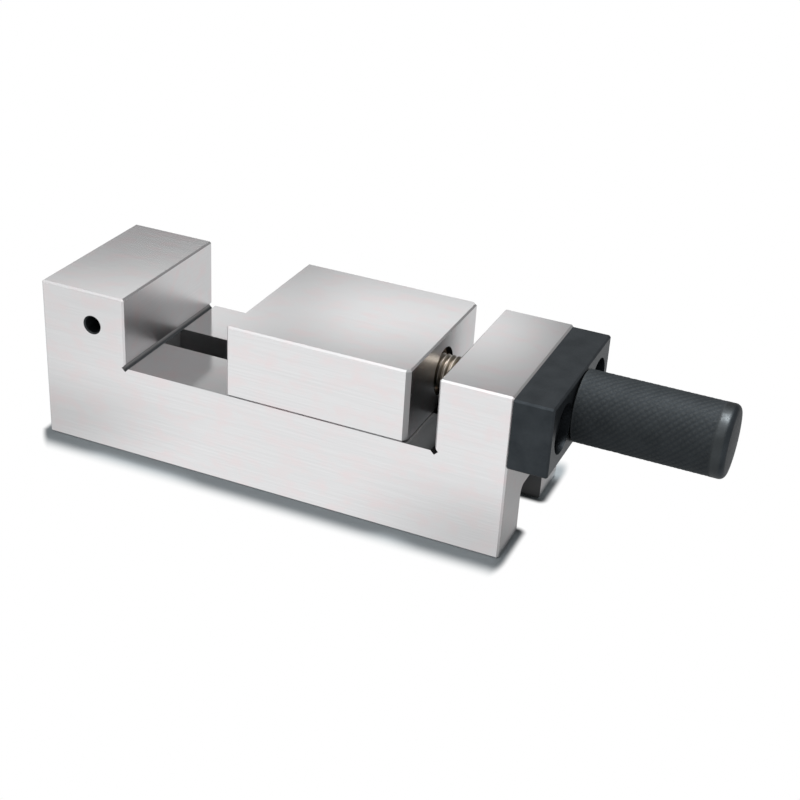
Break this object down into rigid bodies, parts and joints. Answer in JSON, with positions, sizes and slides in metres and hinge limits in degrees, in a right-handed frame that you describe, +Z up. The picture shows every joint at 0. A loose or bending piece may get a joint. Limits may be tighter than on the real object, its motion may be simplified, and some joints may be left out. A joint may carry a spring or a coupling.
{
  "type": "toolmakers vise",
  "caption": "Ground steel toolmakers vise: solid block with fixed jaw, bed and rear post, sliding jaw on a captive lead screw, bolted retainer plate and knurled round handle.",
  "frame": {"origin": "on the underside, on the centre line, straight below the clamping face of the fixed jaw", "axes": "+X from the fixed jaw to the handle, +Z up, +Y completes the right-handed frame, away from the side with the work stop hole"},
  "size_m": [0.1971, 0.05, 0.0497],
  "materials": {
    "ground_steel": "hardened tool steel, fine surface ground",
    "black_oxide_steel": "blackened steel, satin",
    "bronze": "turned bearing bronze",
    "bright_screw_steel": "turned bright steel, lightly oiled"
  },
  "bodies": {
    "vise": {"vise_body": "ground_steel", "retainer_plate": "black_oxide_steel", "plate_screws": "black_oxide_steel", "front_thrust_washer": "bronze", "rear_thrust_washer": "bronze"},
    "jaw": {"movable_jaw": "ground_steel", "jaw_nut": "bronze", "nut_lock_screw": "black_oxide_steel", "keeper_plate": "ground_steel", "keeper_screws": "black_oxide_steel"},
    "screw": {"spindle": "bright_screw_steel", "handle": "black_oxide_steel", "handle_pin": "bright_screw_steel"}
  },
  "joints": [
    {"name": "spindle_turn", "type": "hinge", "parent": "vise", "child": "screw", "pos_m": [0.1169, 0, 0.03875], "axis": [1, 0, 0], "range_deg": [-7964, 1820]},
    {"name": "jaw_slide", "type": "slide", "parent": "vise", "child": "jaw", "axis": [1, 0, 0], "range_m": [-0.03318, 0.00758]}
  ],
  "couplings": [
    {"joint": "spindle_turn", "follows": "jaw_slide", "rad_per_m": 4188.8}
  ]
}
